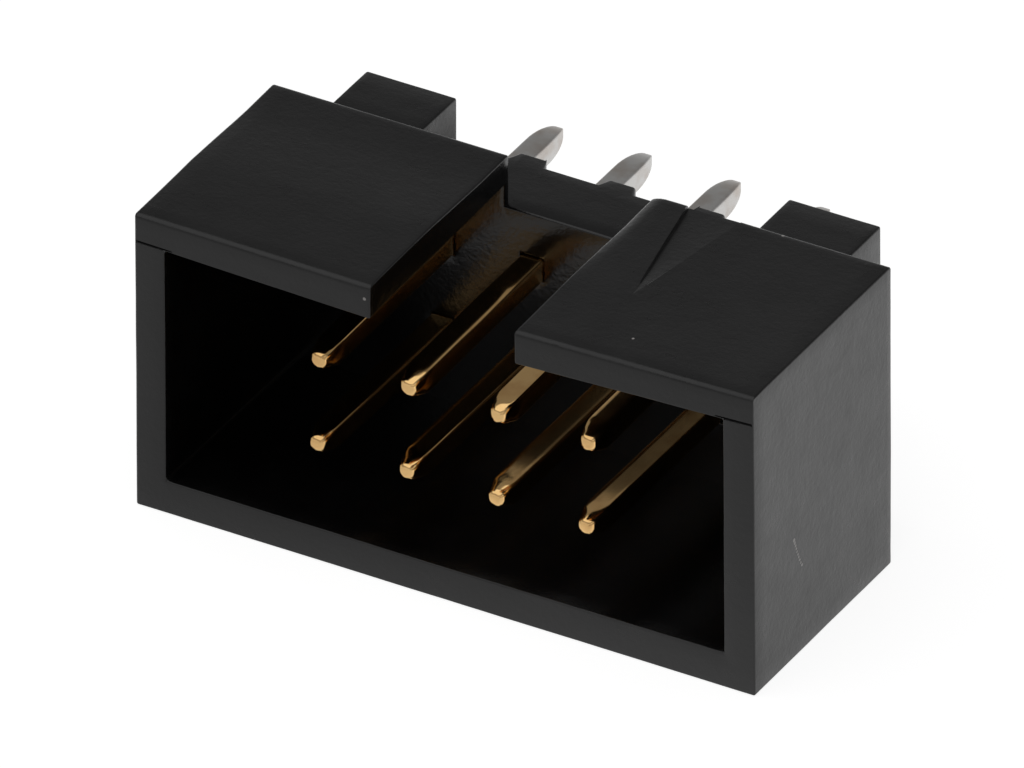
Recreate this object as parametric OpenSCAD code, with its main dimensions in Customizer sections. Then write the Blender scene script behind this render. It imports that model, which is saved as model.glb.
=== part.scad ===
/* [Contacts] */
// Spacing of the contacts, along the rows and between the two rows
pitch = 2.54; // [2.5:0.01:2.6]
// Side of the square contact wire
wire = 0.64; // [0.5:0.01:0.7]
// How far the mating tips stay inside the mouth
tip_inset = 0.37; // [0.2:0.01:1]
// Length of the straight taper at a mating tip
tip_len = 0.68; // [0.4:0.02:1.2]
// Side of the blunt end of a mating tip
tip_end = 0.32; // [0.2:0.01:0.45]
// How far the solder tails stand out past the board seat
tail_len = 3.5; // [2.5:0.1:4]
// Length of the rounded nose at the end of a solder tail
nose_len = 1.1; // [0.6:0.1:1.6]
// Side of the blunt end of a solder tail
nose_end = 0.16; // [0.1:0.01:0.3]

/* [Shroud] */
// Length of the housing, along the contact rows
body_len = 17.6; // [17.3:0.02:18.6]
// Height of the housing, across the contact rows
body_high = 8.7; // [8.5:0.05:9.3]
// Depth of the shroud, from the mouth to its back face
shroud_deep = 6.88; // [6.86:0.02:7.5]
// Depth of the socket, from the mouth to its floor
socket_deep = 6.62; // [6.3:0.01:6.8]
// Thickness of the long wall that carries the key slot
key_wall = 0.93; // [0.7:0.01:1.2]
// Thickness of the long wall across from the key slot
plain_wall = 0.95; // [0.7:0.01:1.2]
// Thickness of the two short walls
end_wall = 0.87; // [0.6:0.01:1.1]
// Rounding of the four long outer edges
edge_r = 0.2; // [0.1:0.05:0.5]

/* [Key slot] */
// Width of the key slot
slot_wide = 4.08; // [3.8:0.02:4.6]
// Bevel along the two top edges of the key slot
slot_bevel = 0.12; // [0.05:0.01:0.3]

/* [Base] */
// Length of the base block, between the two end blocks
base_len = 9.46; // [9:0.02:9.6]
// Height of the base block, across the contact rows
base_high = 5.7; // [5:0.02:6]
// Depth from the mouth to the back face of the base block
base_deep = 8.64; // [8.2:0.02:8.8]
// Length of each end block
block_len = 2.6; // [2:0.02:3]
// Height of each end block
block_high = 7.76; // [7:0.02:8]
// Depth from the mouth to the board seat, where the end blocks and ribs stop
seat_deep = 8.97; // [8.9:0.01:9.4]
// Width of a stand-off rib where it leaves the base block
rib_root = 1.04; // [0.8:0.02:1.2]
// Width of a stand-off rib at the board seat
rib_top = 0.72; // [0.4:0.02:0.78]

/* [Contact 1 mark] */
// Width of the arrowhead mark at the back edge
mark_wide = 1.56; // [1:0.02:2]
// Length of the whole arrowhead, to its point
mark_len = 4.2; // [3:0.05:5]
// Length over which the mark's floor rises to the surface
mark_fade = 3.5; // [2:0.05:5]
// Depth of the mark at the back edge
mark_deep = 0.12; // [0.05:0.01:0.25]

/* [Hidden] */
columns = 4;
pins = 2 * columns;
reach = seat_deep + tail_len;
base_top = base_high / 2;
key_side = body_high / 2;
nose_steps = 6;
eps = 0.5;
black = [0.15, 0.15, 0.155];
gold = [0.83, 0.66, 0.38];
$fn = 48;

// The modules are drawn with the mouth on the plane y = 0, the board side towards +Y,
// and the centre line of the contact rows on z = 0, key slot up.  The finished part lies
// on its plain long wall, centred on the floor under its bounding box.
module placed() {
    translate([0, -reach / 2, body_high / 2])
        children();
}

// A block given by its centre in x and z and by the two depths between which it lies.
module block(len, high, from, to, x = 0, z = 0) {
    translate([x - len / 2, from, z - high / 2])
        cube([len, to - from, high]);
}

// Draws a flat outline on the xz plane and pulls it from one depth to another.
module pull(from, to) {
    translate([0, to, 0])
        rotate([90, 0, 0])
            linear_extrude(to - from)
                children();
}

// Outline of the shroud with rounded long edges.
module shroud_outline() {
    x = body_len / 2 - edge_r;
    z = body_high / 2 - edge_r;
    square([body_len - 2 * edge_r, body_high], center = true);
    square([body_len, body_high - 2 * edge_r], center = true);
    for (sx = [-1, 1], sz = [-1, 1])
        translate([sx * x, sz * z])
            circle(edge_r);
}

// The five-sided cup that the cable plug enters.
module shroud() {
    difference() {
        pull(0, shroud_deep)
            shroud_outline();
        translate([end_wall - body_len / 2, -eps, plain_wall - body_high / 2])
            cube([body_len - 2 * end_wall, socket_deep + eps, body_high - key_wall - plain_wall]);
    }
}

// Base block that holds the contacts, with an end block at each side of it.
module base() {
    block(base_len, base_high, socket_deep, base_deep);
    for (side = [-1, 1])
        block(block_len, block_high, socket_deep, seat_deep,
              x = side * (base_len + block_len) / 2);
}

// Ribs between the contact columns, which keep the base off the board.
module ribs() {
    flank = (rib_root - rib_top) / 2;
    for (i = [1 - columns / 2 : columns / 2 - 1])
        translate([i * pitch, 0, -base_top])
            linear_extrude(base_high)
                polygon([[-rib_root / 2, base_deep - flank], [-rib_root / 2, base_deep],
                         [-rib_top / 2, seat_deep], [rib_top / 2, seat_deep],
                         [rib_root / 2, base_deep], [rib_root / 2, base_deep - flank]]);
}

// Slot through the upper long wall and the floor behind it, down to the top of the base.
module key_slot() {
    pull(-eps, seat_deep + eps)
        polygon([[-slot_wide / 2, base_top],
                 [-slot_wide / 2, key_side - slot_bevel],
                 [-slot_wide / 2 - slot_bevel - eps, key_side + eps],
                 [slot_wide / 2 + slot_bevel + eps, key_side + eps],
                 [slot_wide / 2, key_side - slot_bevel],
                 [slot_wide / 2, base_top]]);
}

// Arrowhead sunk into the upper wall over contact 1: deepest at the back edge.
module contact_1_mark() {
    translate([(columns - 1) / 2 * pitch, shroud_deep, key_side])
        intersection() {
            translate([0, 0, -1])
                linear_extrude(2)
                    polygon([[0, -mark_len], [mark_wide / 2, 0], [mark_wide / 2, eps],
                             [-mark_wide / 2, eps], [-mark_wide / 2, 0]]);
            rotate([90, 0, 90])
                translate([0, 0, -mark_wide])
                    linear_extrude(2 * mark_wide)
                        polygon([[-mark_fade, 0], [0, -mark_deep], [eps, -mark_deep],
                                 [eps, eps], [-mark_fade, eps]]);
        }
}

// Half width of a contact at each step of the solder nose, as [depth, half width].
function nose(step) =
    let (t = step / nose_steps)
    [reach - nose_len * (1 - t), wire / 2 - (wire - nose_end) / 2 * t * t];

// Edge of a contact on one side: blunt mating tip, straight wire, rounded solder nose.
function contact_edge() = concat(
    [[tip_inset, tip_end / 2 - 0.08], [tip_inset + 0.1, tip_end / 2],
     [tip_inset + tip_len, wire / 2]],
    [for (step = [0 : nose_steps]) nose(step)]);

// Outline of a contact seen from any of its four sides, lying along the first axis.
module contact_outline() {
    edge = contact_edge();
    last = len(edge) - 1;
    polygon(concat(edge, [for (i = [last : -1 : 0]) [edge[i][0], -edge[i][1]]]));
}

// One square contact, tapered on all four sides at both ends.
module contact() {
    intersection() {
        rotate([0, 0, 90])
            translate([0, 0, -wire])
                linear_extrude(2 * wire)
                    contact_outline();
        rotate([90, 0, 90])
            translate([0, 0, -wire])
                linear_extrude(2 * wire)
                    contact_outline();
    }
}

// Where a contact stands: odd numbers on the key-slot side, 1 under the mark.
function column_x(number) = ((columns - 1) / 2 - floor((number - 1) / 2)) * pitch;
function row_z(number) = (number % 2 == 1 ? 1 : -1) * pitch / 2;

module housing() {
    color(black)
        placed()
            difference() {
                union() {
                    shroud();
                    base();
                    ribs();
                }
                key_slot();
                contact_1_mark();
                for (number = [1 : pins])
                    block(wire, wire, socket_deep - eps, seat_deep + eps,
                          x = column_x(number), z = row_z(number));
            }
}

module pin(number) {
    color(gold)
        placed()
            translate([column_x(number), 0, row_z(number)])
                contact();
}

housing();
pin(1);  // pin_1
pin(2);  // pin_2
pin(3);  // pin_3
pin(4);  // pin_4
pin(5);  // pin_5
pin(6);  // pin_6
pin(7);  // pin_7
pin(8);  // pin_8
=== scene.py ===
import bmesh
import bpy
import math
from mathutils import Matrix, Vector, noise


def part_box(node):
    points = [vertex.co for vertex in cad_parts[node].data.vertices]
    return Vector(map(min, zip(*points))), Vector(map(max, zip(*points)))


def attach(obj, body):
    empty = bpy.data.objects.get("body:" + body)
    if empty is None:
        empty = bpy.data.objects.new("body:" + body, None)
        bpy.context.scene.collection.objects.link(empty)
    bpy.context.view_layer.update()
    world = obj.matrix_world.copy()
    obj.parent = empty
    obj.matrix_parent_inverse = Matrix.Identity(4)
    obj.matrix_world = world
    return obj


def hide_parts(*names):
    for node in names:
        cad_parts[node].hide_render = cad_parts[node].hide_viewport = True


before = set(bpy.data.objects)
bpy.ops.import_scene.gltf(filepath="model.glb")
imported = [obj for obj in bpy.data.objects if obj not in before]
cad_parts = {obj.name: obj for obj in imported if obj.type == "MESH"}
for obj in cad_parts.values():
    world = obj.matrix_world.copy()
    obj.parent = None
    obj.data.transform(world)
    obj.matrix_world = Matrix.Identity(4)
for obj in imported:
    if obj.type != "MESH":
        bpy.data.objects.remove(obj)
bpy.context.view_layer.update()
MM = 0.001

# ------------------------------------------------------------------------------------
# Camera. A long lens well back from the part, above its open mouth and to the right.
# ------------------------------------------------------------------------------------
camera_azimuth = math.radians(29.99)
camera_height = math.radians(32.80)
camera_roll = math.radians(-0.281)
camera_distance = 701.22 * MM
camera_aim = Vector((-0.3253, -2.2495, 3.9782)) * MM

turn = (Matrix.Rotation(camera_azimuth, 4, "Z")
        @ Matrix.Rotation(math.radians(90) - camera_height, 4, "X")
        @ Matrix.Rotation(camera_roll, 4, "Z"))
camera_data = bpy.data.cameras.new("camera")
camera_data.sensor_width = 36
camera_data.lens = 1000
camera_data.clip_start = 0.01
camera = bpy.data.objects.new("camera", camera_data)
camera.matrix_world = (Matrix.Translation(camera_aim) @ turn
                       @ Matrix.Translation((0, 0, camera_distance)))
bpy.context.collection.objects.link(camera)
bpy.context.scene.camera = camera
bpy.context.scene.view_settings.view_transform = "Standard"

# ------------------------------------------------------------------------------------
# Studio. A white table, whose reflection in the part is darker to the front and left, a
# pale surround that darkens overhead, and one large soft lamp.
# ------------------------------------------------------------------------------------


def link(tree, start, end):
    tree.links.new(start, end)


world = bpy.data.worlds.new("studio")
bpy.context.scene.world = world
world.use_nodes = True
tree = world.node_tree
tree.nodes.clear()
direction = tree.nodes.new("ShaderNodeTexCoord")
split = tree.nodes.new("ShaderNodeSeparateXYZ")
link(tree, direction.outputs["Generated"], split.inputs[0])
ramp = tree.nodes.new("ShaderNodeValToRGB")
link(tree, split.outputs["Z"], ramp.inputs["Fac"])
ramp.color_ramp.elements[0].position = 0.0
ramp.color_ramp.elements[0].color = (0.60, 0.60, 0.60, 1)
ramp.color_ramp.elements[1].position = 0.5
ramp.color_ramp.elements[1].color = (0.20, 0.20, 0.20, 1)
surround = tree.nodes.new("ShaderNodeBackground")
link(tree, ramp.outputs["Color"], surround.inputs["Color"])
white = tree.nodes.new("ShaderNodeBackground")
white.inputs["Color"].default_value = (1, 1, 1, 1)
ray = tree.nodes.new("ShaderNodeLightPath")
choose = tree.nodes.new("ShaderNodeMixShader")
link(tree, ray.outputs["Is Camera Ray"], choose.inputs["Fac"])
link(tree, surround.outputs[0], choose.inputs[1])
link(tree, white.outputs[0], choose.inputs[2])
out = tree.nodes.new("ShaderNodeOutputWorld")
link(tree, choose.outputs[0], out.inputs["Surface"])


def soft_lamp(name, place, aim, size, power):
    data = bpy.data.lights.new(name, "AREA")
    data.shape = "DISK"
    data.size = size
    data.energy = power
    lamp = bpy.data.objects.new(name, data)
    back = (Vector(place) - Vector(aim)).normalized()
    tilt = back.to_track_quat("Z", "Y").to_matrix().to_4x4()
    lamp.matrix_world = Matrix.Translation(place) @ tilt
    bpy.context.collection.objects.link(lamp)


soft_lamp("overhead_lamp", (-0.1, -0.25, 0.7), (0, 0, 0), 1.3, 3.0)

# The table top lies a hair below the part, so that the two faces don't coincide.
table_gap = 0.02 * MM
table = bmesh.new()
bmesh.ops.create_grid(table, x_segments=8, y_segments=8, size=3)
bmesh.ops.translate(table, verts=table.verts, vec=(0, 0, -table_gap))
table_mesh = bpy.data.meshes.new("table")
table.to_mesh(table_mesh)
table.free()
table_piece = bpy.data.objects.new("table", table_mesh)
bpy.context.collection.objects.link(table_piece)
table_white = bpy.data.materials.new("table white")
table_white.use_nodes = True
tree = table_white.node_tree
tree.nodes.clear()
coords = tree.nodes.new("ShaderNodeTexCoord")
slope = tree.nodes.new("ShaderNodeVectorMath")
slope.operation = "DOT_PRODUCT"
slope.inputs[1].default_value = (0.5, 0.87, 0)
link(tree, coords.outputs["Object"], slope.inputs[0])
spread = tree.nodes.new("ShaderNodeMapRange")
spread.interpolation_type = "SMOOTHSTEP"
spread.inputs["From Min"].default_value = -15 * MM
spread.inputs["From Max"].default_value = 8 * MM
spread.inputs["To Min"].default_value = 0.42
spread.inputs["To Max"].default_value = 0.85
link(tree, slope.outputs["Value"], spread.inputs["Value"])
card = tree.nodes.new("ShaderNodeBsdfDiffuse")
card.inputs["Color"].default_value = (0.35, 0.35, 0.35, 1)
camera_glow = tree.nodes.new("ShaderNodeEmission")
camera_glow.inputs["Strength"].default_value = 0.86
mirror_glow = tree.nodes.new("ShaderNodeEmission")
link(tree, spread.outputs["Result"], mirror_glow.inputs["Strength"])
dark = tree.nodes.new("ShaderNodeEmission")
dark.inputs["Strength"].default_value = 0.0
ray = tree.nodes.new("ShaderNodeLightPath")
mirrored = tree.nodes.new("ShaderNodeMixShader")
link(tree, ray.outputs["Is Glossy Ray"], mirrored.inputs["Fac"])
link(tree, dark.outputs[0], mirrored.inputs[1])
link(tree, mirror_glow.outputs[0], mirrored.inputs[2])
seen = tree.nodes.new("ShaderNodeMixShader")
link(tree, ray.outputs["Is Camera Ray"], seen.inputs["Fac"])
link(tree, mirrored.outputs[0], seen.inputs[1])
link(tree, camera_glow.outputs[0], seen.inputs[2])
both = tree.nodes.new("ShaderNodeAddShader")
link(tree, card.outputs[0], both.inputs[0])
link(tree, seen.outputs[0], both.inputs[1])
out = tree.nodes.new("ShaderNodeOutputMaterial")
link(tree, both.outputs[0], out.inputs["Surface"])
table_mesh.materials.append(table_white)

# ------------------------------------------------------------------------------------
# Housing. One moulding of black glass-filled plastic: a five-sided cup for the cable
# plug, a base that holds the contacts, and two end blocks and three ribs that stand on
# the board. The mould rounds its edges, and its open walls have sunk a little.
# ------------------------------------------------------------------------------------
low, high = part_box("housing")
mouth, board_seat = low.y, high.y
half_len, half_high = high.x, (high.z - low.z) / 2
mid = (high.z + low.z) / 2

socket_floor = mouth + 6.62 * MM
shroud_back = mouth + 6.88 * MM
base_back = mouth + 8.64 * MM
socket_x = half_len - 0.87 * MM
socket_top = mid + half_high - 0.93 * MM
socket_bottom = mid - half_high + 0.95 * MM
slot_x = 2.04 * MM
base_x, base_z = 4.73 * MM, 2.85 * MM
block_x, block_z = 7.33 * MM, 3.88 * MM
rib_root, rib_top = 0.52 * MM, 0.36 * MM
pitch = 2.54 * MM
half_wire = 0.32 * MM
rib_places = [-pitch, 0.0, pitch]
column_places = [-1.5 * pitch, -0.5 * pitch, 0.5 * pitch, 1.5 * pitch]
row_places = [mid + pitch / 2, mid - pitch / 2]
tiny = 1e-6


def cut(shape, parts, point, normal):
    bmesh.ops.bisect_plane(shape, geom=parts, plane_co=point, plane_no=normal, dist=1e-7)


def everything(shape):
    return shape.verts[:] + shape.edges[:] + shape.faces[:]


def pull(shape, faces, distance):
    edges = list(dict.fromkeys(edge for face in faces for edge in face.edges))
    made = bmesh.ops.extrude_face_region(shape, geom=faces + edges)["geom"]
    verts = [part for part in made if isinstance(part, bmesh.types.BMVert)]
    bmesh.ops.translate(shape, verts=verts, vec=(0, distance, 0))
    return [part for part in made if isinstance(part, bmesh.types.BMFace)]


def near(value, places, reach):
    return any(abs(value - place) < reach for place in places)


# A flat sheet on the socket floor, cut into cells along every wall, rib and hole.
body = bmesh.new()
bmesh.ops.create_grid(body, x_segments=1, y_segments=1, size=1.0)
bmesh.ops.scale(body, verts=body.verts, vec=(half_len, half_high, 1))
bmesh.ops.rotate(body, verts=body.verts, matrix=Matrix.Rotation(math.radians(90), 3, "X"))
bmesh.ops.translate(body, verts=body.verts, vec=(0, socket_floor, mid))
x_lines = [side * x for x in [slot_x, socket_x, base_x, block_x] for side in [-1, 1]]
x_lines += [place + side * rib_root for place in rib_places for side in [-1, 1]]
x_lines += [place + side * half_wire for place in column_places for side in [-1, 1]]
z_lines = [socket_top, socket_bottom]
z_lines += [mid + side * z for z in [base_z, block_z] for side in [-1, 1]]
z_lines += [place + side * half_wire for place in row_places for side in [-1, 1]]
for x in x_lines:
    cut(body, everything(body), (x, 0, 0), (1, 0, 0))
for z in z_lines:
    cut(body, everything(body), (0, 0, z), (0, 0, 1))


def middle(face):
    return face.calc_center_median()


def in_slot(face):
    return abs(middle(face).x) < slot_x and middle(face).z > mid + base_z


def in_hole(face):
    return (near(middle(face).x, column_places, half_wire)
            and near(middle(face).z, row_places, half_wire))


def in_socket(face):
    return abs(middle(face).x) < socket_x and socket_bottom < middle(face).z < socket_top


def in_base(face):
    return abs(middle(face).x) < base_x and abs(middle(face).z - mid) < base_z


def in_block(face):
    return base_x < abs(middle(face).x) < block_x and abs(middle(face).z - mid) < block_z


def in_rib(face):
    return in_base(face) and near(middle(face).x, rib_places, rib_root)


openings = [face for face in body.faces if in_slot(face) or in_hole(face)]
bmesh.ops.delete(body, geom=openings, context="FACES")
back = pull(body, body.faces[:], shroud_back - socket_floor)
behind = [face for face in back if in_base(face) or in_block(face)]
back = pull(body, behind, base_back - shroud_back)
standing = [face for face in back if in_rib(face) or in_block(face)]
pull(body, standing, board_seat - base_back)
rim = [face for face in body.faces if abs(middle(face).y - socket_floor) < tiny
       and abs(face.normal.y) > 0.9 and not in_socket(face)]
pull(body, rim, mouth - socket_floor)
bmesh.ops.recalc_face_normals(body, faces=body.faces)

# The ribs narrow towards the board.
for vert in body.verts:
    for place in rib_places:
        if abs(vert.co.y - board_seat) < tiny and abs(vert.co.x - place) < rib_root + tiny:
            vert.co.x = place + math.copysign(rib_top, vert.co.x - place)
bmesh.ops.dissolve_limit(body, angle_limit=math.radians(1), verts=body.verts, edges=body.edges)


# Radii of the moulded edges, in mm: crisp where the tool's halves meet, fuller on top.
def edge_radius(edge):
    if len(edge.link_faces) != 2 or edge.calc_face_angle(0) < math.radians(20):
        return 0.0
    one, two = edge.verts[0].co, edge.verts[1].co

    def both(test):
        return test(one) and test(two)

    on_crown = both(lambda co: abs(co.z - high.z) < tiny)
    on_left_end = both(lambda co: co.x < -half_len + tiny)
    if edge.calc_face_angle_signed(0) < 0:
        corner = both(lambda co: abs(abs(co.x) - socket_x) < tiny)
        return 0.10 if corner and abs(one.y - two.y) > 1 * MM else 0.0
    if both(lambda co: abs(co.y - mouth) < tiny):
        return 0.16 if on_crown else 0.09 if on_left_end else 0.045
    if both(lambda co: abs(co.y - shroud_back) < tiny):
        return 0.13 if on_crown else 0.08
    if on_crown and on_left_end or both(lambda co: co.y > base_back - tiny):
        return 0.08
    return 0.06


widest = 0.25
weights = body.edges.layers.float.new("bevel_weight_edge")
for edge in body.edges:
    edge[weights] = edge_radius(edge) / widest

draft_mesh = bpy.data.meshes.new("housing_draft")
body.to_mesh(draft_mesh)
body.free()
draft = bpy.data.objects.new("housing_draft", draft_mesh)
bpy.context.collection.objects.link(draft)
rounding = draft.modifiers.new("rounding", "BEVEL")
rounding.limit_method = "WEIGHT"
rounding.width = widest * MM
rounding.segments = 4
rounding.use_clamp_overlap = False
rounding.miter_outer = "MITER_SHARP"
ready = draft.evaluated_get(bpy.context.evaluated_depsgraph_get())
body = bmesh.new()
body.from_mesh(ready.to_mesh())
ready.to_mesh_clear()
bpy.data.objects.remove(draft)

# Contact 1 mark: a shallow wedge sunk in the top wall, deepest at the back, its point
# towards the mouth. Twin cuts along each side leave a steep wall between them.
mark_x = 1.5 * pitch
mark_half, mark_len = 0.78 * MM, 4.2 * MM
mark_fade, mark_deep = 3.5 * MM, 0.12 * MM
mark_step, mark_wall = 0.055 * MM, 0.02 * MM
mark_point = Vector((mark_x, shroud_back - mark_len, 0))


def on_top(face):
    place = middle(face)
    return face.normal.z > 0.2 and place.z > mid + 0.9 * half_high and place.x > slot_x


def top_parts(shape):
    faces = [face for face in shape.faces if on_top(face)]
    edges = list(dict.fromkeys(edge for face in faces for edge in face.edges))
    verts = list(dict.fromkeys(vert for face in faces for vert in face.verts))
    return verts + edges + faces


for side in [-1, 1]:
    for inset in [0.0, mark_wall]:
        across = Vector((side * mark_len, -mark_half, 0)).normalized()
        start = mark_point - across * inset
        cut(body, top_parts(body), start, across)

# Fine cuts through the whole moulding, so that its walls can bend a little. They lie
# closer beside the key slot and along the seam of the rim.
step = 0.55 * MM
for index in range(1, 32):
    cut(body, everything(body), (-half_len + index * step, 0, 0), (1, 0, 0))
for index in range(1, 16):
    cut(body, everything(body), (0, mouth + index * step, 0), (0, 1, 0))
    cut(body, everything(body), (0, 0, low.z + index * step), (0, 0, 1))
for x in [2.12, 2.20, 2.30, 2.42]:
    cut(body, everything(body), (x * MM, 0, 0), (1, 0, 0))
seam_z = socket_top + 0.06 * MM
for offset in [-0.07, -0.025, 0.025]:
    cut(body, everything(body), (0, 0, seam_z + offset * MM), (0, 0, 1))


def ease(value, start, end):
    return min(max((value - start) / (end - start), 0.0), 1.0)


def mark_floor(co):
    behind = co.y - mark_point.y
    reach = mark_half * behind / mark_len - mark_wall * 0.5
    if abs(co.x - mark_x) > reach or co.z < mid + 0.9 * half_high:
        return co.z
    across = ease(co.x - mark_x, -reach, reach)
    start = mark_step * (1 - across) * ease(behind, 0.2 * MM, 0.9 * MM)
    fall = ease(behind, mark_len - mark_fade, mark_len) * (1 - 0.45 * across)
    return min(co.z, high.z - start - (mark_deep - start) * fall)


# The two halves of the top wall sag beside the key slot, the side walls lean in a little
# above, and every face is very slightly uneven. All of these are in mm.
lean_back, lean_mouth = 0.032, 0.028
sag_right, sag_left, sag_back = 0.17, 0.05, 0.012
thin_wall = 0.11
slot_edge_sink = 0.12
seam_deep = 0.07
lower_wall_rise = 0.06
long_wave, short_wave = 0.006, 0.004
noise.seed_set(1)


def settled(co):
    ahead = 1 - ease(co.y, mouth, shroud_back)
    rise = ease(co.z, low.z, high.z)
    top = ease(co.z, mid + 0.5 * half_high, mid + 0.7 * half_high)
    side = co.x / half_len
    move = Vector((0, 0, 0))
    move.x = -side * abs(side) * rise * (lean_back + lean_mouth * ahead)
    right = ease(co.x, half_len, slot_x)
    left = ease(-co.x, half_len, slot_x)
    outside = ease(co.z, socket_top, high.z)
    if co.y < shroud_back + 0.01 * MM:
        sag = sag_right * right * ahead + sag_left * left * ahead + sag_back * (1 - ahead)
        move.z -= top * sag
        thinner = thin_wall * ease(abs(co.x), slot_x, half_len)
        move.z += top * (1 - outside) * ahead * thinner
        beside = ease(co.x, 2.45 * MM, slot_x) ** 2
        behind = ease(co.y, shroud_back - 4.0 * MM, shroud_back - 1.5 * MM)
        move.z -= slot_edge_sink * outside * beside * behind
    on_rim = co.y < mouth + tiny and abs(co.x) > socket_x
    if on_rim and abs(co.z - seam_z + 0.025 * MM) < 0.01 * MM:
        move.y += seam_deep
    if abs(co.z - socket_bottom) < 0.02 * MM and co.y < socket_floor:
        move.z += lower_wall_rise * ahead * ease(co.x, 0, half_len)
    wave = noise.noise_vector(co / (2.3 * MM)) * long_wave
    wave += noise.noise_vector(co / (0.7 * MM) + Vector((7, 3, 5))) * short_wave
    return co + (move + wave) * MM


for vert in body.verts:
    vert.co.z = mark_floor(vert.co)
for vert in body.verts:
    moved = settled(vert.co)
    vert.co = [min(max(moved[axis], low[axis]), high[axis]) for axis in range(3)]
bmesh.ops.dissolve_degenerate(body, dist=1e-7, edges=body.edges)
bmesh.ops.recalc_face_normals(body, faces=body.faces)
for face in body.faces:
    face.smooth = True
for edge in body.edges:
    centre = (edge.verts[0].co + edge.verts[1].co) / 2
    by_mark = (abs(centre.x - mark_x) < mark_half + 0.1 * MM
               and centre.z > high.z - 0.25 * MM
               and mark_point.y < centre.y < shroud_back - 0.2 * MM)
    edge.smooth = edge.calc_face_angle(0) < math.radians(8 if by_mark else 35)

# Inside the socket the tool is polished, so those faces shine more than the outside.
polish = body.verts.layers.float.new("polish")
for vert in body.verts:
    co = vert.co
    inside = abs(co.x) < socket_x + 0.1 * MM
    inside = inside and mouth + 0.2 * MM < co.y < socket_floor + 0.2 * MM
    in_height = socket_bottom - 0.1 * MM < co.z < socket_top + 0.1 * MM
    by_slot = abs(co.x) < slot_x + 0.02 * MM
    vert[polish] = 1.0 if inside and (in_height or by_slot) else 0.0

housing_mesh = bpy.data.meshes.new("housing_moulding")
body.to_mesh(housing_mesh)
body.free()
housing_piece = bpy.data.objects.new("housing_moulding", housing_mesh)
bpy.context.collection.objects.link(housing_piece)
flats = housing_piece.modifiers.new("flats", "WEIGHTED_NORMAL")
flats.mode = "FACE_AREA"
flats.weight = 80
flats.keep_sharp = True

housing_black = bpy.data.materials.new("black moulded plastic")
housing_black.use_nodes = True
tree = housing_black.node_tree
shader = tree.nodes["Principled BSDF"]
coords = tree.nodes.new("ShaderNodeTexCoord")


def mottle(tree, vector, scale, detail, roughness=0.5):
    node = tree.nodes.new("ShaderNodeTexNoise")
    node.inputs["Scale"].default_value = scale
    node.inputs["Detail"].default_value = detail
    node.inputs["Roughness"].default_value = roughness
    link(tree, vector, node.inputs["Vector"])
    return node


def stretch_range(tree, value, start, end, low_out=0.0, high_out=1.0):
    node = tree.nodes.new("ShaderNodeMapRange")
    node.inputs["From Min"].default_value = start
    node.inputs["From Max"].default_value = end
    node.inputs["To Min"].default_value = low_out
    node.inputs["To Max"].default_value = high_out
    link(tree, value, node.inputs["Value"])
    return node


# Colour: near black, in faint cloudy patches where the filler lies closer to the skin.
clouds = mottle(tree, coords.outputs["Object"], 420, 5, 0.6)
shades = tree.nodes.new("ShaderNodeValToRGB")
shades.color_ramp.elements[0].position = 0.35
shades.color_ramp.elements[0].color = (0.0016, 0.0015, 0.0016, 1)
shades.color_ramp.elements[1].position = 0.68
shades.color_ramp.elements[1].color = (0.0042, 0.0040, 0.0041, 1)
link(tree, clouds.outputs["Fac"], shades.inputs["Fac"])


def number_node(tree, operation, first, second=0.0, third=0.0):
    node = tree.nodes.new("ShaderNodeMath")
    node.operation = operation
    for socket, value in zip(node.inputs, (first, second, third)):
        if isinstance(value, float):
            socket.default_value = value
        else:
            link(tree, value, socket)
    return node


def near_spot(tree, place, reach):
    away = tree.nodes.new("ShaderNodeVectorMath")
    away.operation = "DISTANCE"
    away.inputs[1].default_value = place
    link(tree, coords.outputs["Object"], away.inputs[0])
    return number_node(tree, "LESS_THAN", away.outputs["Value"], reach)


# Marks in the skin, each a place and a reach in mm: ten spots in a row make the pale
# curved scuff on the right end, and the last four are specks of dust.
spots = [
    (8.79, -4.245, 3.43, 0.055),
    (8.79, -4.21, 3.33, 0.045),
    (8.79, -4.175, 3.23, 0.04),
    (8.79, -4.14, 3.126, 0.035),
    (8.79, -4.1, 3.02, 0.035),
    (8.79, -4.06, 2.92, 0.035),
    (8.79, -4.02, 2.82, 0.035),
    (8.79, -3.97, 2.71, 0.035),
    (8.79, -3.92, 2.6, 0.035),
    (8.79, -3.86, 2.5, 0.04),
    (-7.7, -6.17, 8.69, 0.04),
    (-2.19, -6.23, 8.1, 0.045),
    (4.79, -5.19, 8.6, 0.045),
    (5.77, 0.53, 8.67, 0.04),
]
marks = None
for x, y, z, reach in spots:
    spot = near_spot(tree, Vector((x, y, z)) * MM, reach * MM)
    if marks is None:
        marks = spot
    else:
        marks = number_node(tree, "MAXIMUM", marks.outputs[0], spot.outputs[0])
coloured = tree.nodes.new("ShaderNodeMix")
coloured.data_type = "RGBA"
coloured.inputs["B"].default_value = (0.34, 0.32, 0.31, 1)
link(tree, marks.outputs[0], coloured.inputs["Factor"])
link(tree, shades.outputs["Color"], coloured.inputs["A"])
link(tree, coloured.outputs["Result"], shader.inputs["Base Color"])

# Sheen: satin outside with a fine uneven skin, and shinier inside the socket.
skin = mottle(tree, coords.outputs["Object"], 900, 6, 0.7)
satin = stretch_range(tree, skin.outputs["Fac"], 0.3, 0.7, 0.25, 0.38)
inner = tree.nodes.new("ShaderNodeAttribute")
inner.attribute_name = "polish"
sheen = tree.nodes.new("ShaderNodeMix")
sheen.data_type = "FLOAT"
sheen.inputs["B"].default_value = 0.17
link(tree, inner.outputs["Fac"], sheen.inputs["Factor"])
link(tree, satin.outputs["Result"], sheen.inputs["A"])
link(tree, sheen.outputs["Result"], shader.inputs["Roughness"])

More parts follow.
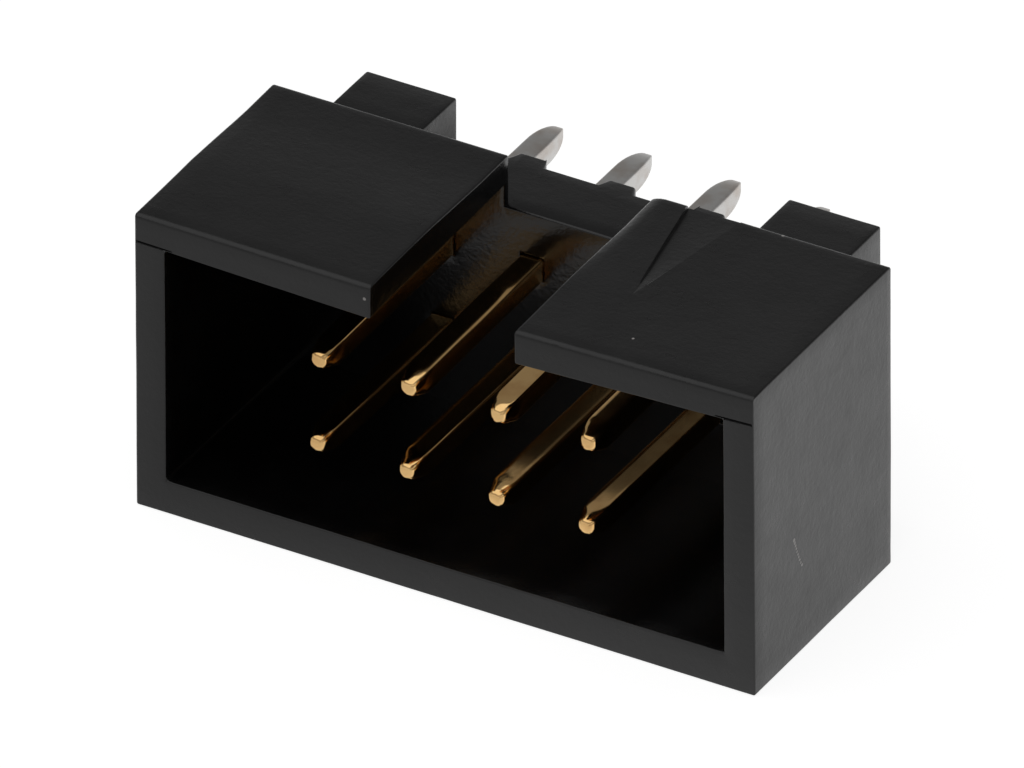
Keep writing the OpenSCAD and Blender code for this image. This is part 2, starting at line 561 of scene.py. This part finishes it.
# Relief: the spark-eroded grain of the tool and short flow streaks along the length.
grain = mottle(tree, coords.outputs["Object"], 7000, 4, 0.65)
stretch = tree.nodes.new("ShaderNodeMapping")
stretch.inputs["Scale"].default_value = (0.7, 1.0, 1.0)
link(tree, coords.outputs["Object"], stretch.inputs["Vector"])
streaks = mottle(tree, stretch.outputs["Vector"], 2600, 3)
relief = number_node(tree, "MULTIPLY_ADD", streaks.outputs["Fac"], 0.7, grain.outputs["Fac"])


def emboss(tree, shader, height, strength, distance):
    bump = tree.nodes.new("ShaderNodeBump")
    bump.inputs["Strength"].default_value = strength
    bump.inputs["Distance"].default_value = distance
    link(tree, height, bump.inputs["Height"])
    link(tree, bump.outputs["Normal"], shader.inputs["Normal"])


emboss(tree, shader, relief.outputs[0], 0.55, 0.014 * MM)
housing_mesh.materials.append(housing_black)
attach(housing_piece, "root")
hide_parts("housing")

# ------------------------------------------------------------------------------------
# Contacts. Eight lengths of square bronze wire, pressed through the base. The socket end
# is gold plated and coined to a short blunt point, and the board end is tinned and has a
# rounded nose that goes into the board.
# ------------------------------------------------------------------------------------
tip_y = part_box("pin_1")[0].y
tail_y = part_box("pin_1")[1].y

contact_metal = bpy.data.materials.new("contact plating")
contact_metal.use_nodes = True
tree = contact_metal.node_tree
shader = tree.nodes["Principled BSDF"]
shader.inputs["Metallic"].default_value = 1.0
coords = tree.nodes.new("ShaderNodeTexCoord")
split = tree.nodes.new("ShaderNodeSeparateXYZ")
link(tree, coords.outputs["Object"], split.inputs[0])

# Plating: gold up to just inside the base's rear face, and matt tin behind it.
plating = stretch_range(tree, split.outputs["Y"], base_back - 0.4 * MM, base_back - 0.2 * MM)
finish = tree.nodes.new("ShaderNodeMix")
finish.data_type = "RGBA"
finish.inputs["A"].default_value = (0.95, 0.61, 0.26, 1)
finish.inputs["B"].default_value = (0.60, 0.59, 0.575, 1)
link(tree, plating.outputs["Result"], finish.inputs["Factor"])
tarnish = mottle(tree, coords.outputs["Object"], 1500, 4)
dulled = tree.nodes.new("ShaderNodeMix")
dulled.data_type = "RGBA"
dulled.blend_type = "MULTIPLY"
dulled.inputs["B"].default_value = (0.80, 0.72, 0.66, 1)
amount = stretch_range(tree, tarnish.outputs["Fac"], 0.45, 0.75)
link(tree, amount.outputs["Result"], dulled.inputs["Factor"])
link(tree, finish.outputs["Result"], dulled.inputs["A"])
link(tree, dulled.outputs["Result"], shader.inputs["Base Color"])
gold_sheen = number_node(tree, "MULTIPLY_ADD", tarnish.outputs["Fac"], 0.12, 0.06)
sheen = tree.nodes.new("ShaderNodeMix")
sheen.data_type = "FLOAT"
sheen.inputs["B"].default_value = 0.42
link(tree, plating.outputs["Result"], sheen.inputs["Factor"])
link(tree, gold_sheen.outputs[0], sheen.inputs["A"])
link(tree, sheen.outputs["Result"], shader.inputs["Roughness"])

# Relief: fine lines along the wire, left by the drawing die.
drawn = tree.nodes.new("ShaderNodeMapping")
drawn.inputs["Scale"].default_value = (9000, 500, 9000)
link(tree, coords.outputs["Object"], drawn.inputs["Vector"])
lines = mottle(tree, drawn.outputs["Vector"], 1.0, 3)
emboss(tree, shader, lines.outputs["Fac"], 0.4, 0.0015 * MM)

# Half-width of the wire, in mm, at each place along the coined point and along the board
# nose, and how far the points of the upper and lower row lean up and sideways.
tip_steps = [(0.0, 0.120), (0.010, 0.155), (0.030, 0.190), (0.06, 0.215), (0.10, 0.234),
             (0.16, 0.252), (0.24, 0.270), (0.34, 0.286), (0.46, 0.302), (0.58, 0.312),
             (0.72, 0.320), (0.80, 0.320), (1.10, 0.320), (2.40, 0.320), (4.00, 0.320)]
nose_steps = [(-2.2, 0.320), (-0.4, 0.320), (-0.1, 0.320), (0.08, 0.318), (0.25, 0.308),
              (0.45, 0.288), (0.62, 0.260), (0.78, 0.225), (0.90, 0.190), (1.0, 0.152),
              (1.06, 0.118), (1.09, 0.088), (1.1, 0.05)]
nose_long = 1.1
tip_lean = [(-0.05, 0.05), (0.03, -0.015)]
round_long, ragged_long, lean_long = 0.5, 0.7, 6
ragged_grain, ragged_deep = 0.16, 0.022


def contact(number):
    column, row = (number - 1) // 2, (number - 1) % 2
    place = Vector((column_places[3 - column], 0, row_places[row]))
    shape = bmesh.new()
    bmesh.ops.create_cube(shape, size=1.0)
    bmesh.ops.scale(shape, verts=shape.verts, vec=(2 * half_wire, tail_y - tip_y, 2 * half_wire))
    bmesh.ops.translate(shape, verts=shape.verts, vec=(0, (tail_y + tip_y) / 2, 0))
    corners = [edge for edge in shape.edges
               if abs(edge.verts[0].co.y - edge.verts[1].co.y) > tiny]
    bmesh.ops.bevel(shape, geom=corners, offset=0.07 * MM, offset_type="OFFSET", segments=4,
                    profile=0.5, affect="EDGES", clamp_overlap=True, material=-1)
    rings = [(tip_y + along * MM, half) for along, half in tip_steps]
    rings += [(tail_y + (along - nose_long) * MM, half) for along, half in nose_steps]
    for y, half in rings[1:-1]:
        cut(shape, everything(shape), (0, y, 0), (0, 1, 0))
    for offset in [-0.5, 0.0, 0.5]:
        cut(shape, everything(shape), (offset * half_wire, 0, 0), (1, 0, 0))
        cut(shape, everything(shape), (0, 0, offset * half_wire), (0, 0, 1))
    for vert in shape.verts:
        y, half = min(rings, key=lambda ring: abs(ring[0] - vert.co.y))
        along = (vert.co.y - tip_y) / MM
        spread = math.hypot(vert.co.x, vert.co.z)
        fit = half * MM / half_wire
        if along < round_long and spread > tiny:
            round_off = 1 - along / round_long
            fit *= (1 - round_off) + round_off * max(abs(vert.co.x), abs(vert.co.z)) / spread
        vert.co.x *= fit
        vert.co.z *= fit
    bmesh.ops.translate(shape, verts=shape.verts, vec=place)
    for vert in shape.verts:
        ahead = max(0.0, 1 - (vert.co.y - tip_y) / (ragged_long * MM))
        fade = min(ahead * 3, 1.0) * (ahead > 0.02)
        rough = noise.noise_vector(vert.co / (ragged_grain * MM)) * ragged_deep * fade
        rough.y = abs(rough.y)
        vert.co += rough * MM
        lift, sideways = tip_lean[row]
        lean = max(0.0, 1 - (vert.co.y - tip_y) / (lean_long * MM))
        vert.co += Vector((sideways, 0, lift)) * lean * MM
    for face in shape.faces:
        face.smooth = True
    mesh = bpy.data.meshes.new("contact_%d" % number)
    shape.to_mesh(mesh)
    shape.free()
    mesh.materials.append(contact_metal)
    piece = bpy.data.objects.new("contact_%d" % number, mesh)
    bpy.context.collection.objects.link(piece)
    flats = piece.modifiers.new("flats", "WEIGHTED_NORMAL")
    flats.mode = "FACE_AREA"
    flats.weight = 80
    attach(piece, "root")
    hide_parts("pin_%d" % number)


for number in range(1, 9):
    contact(number)
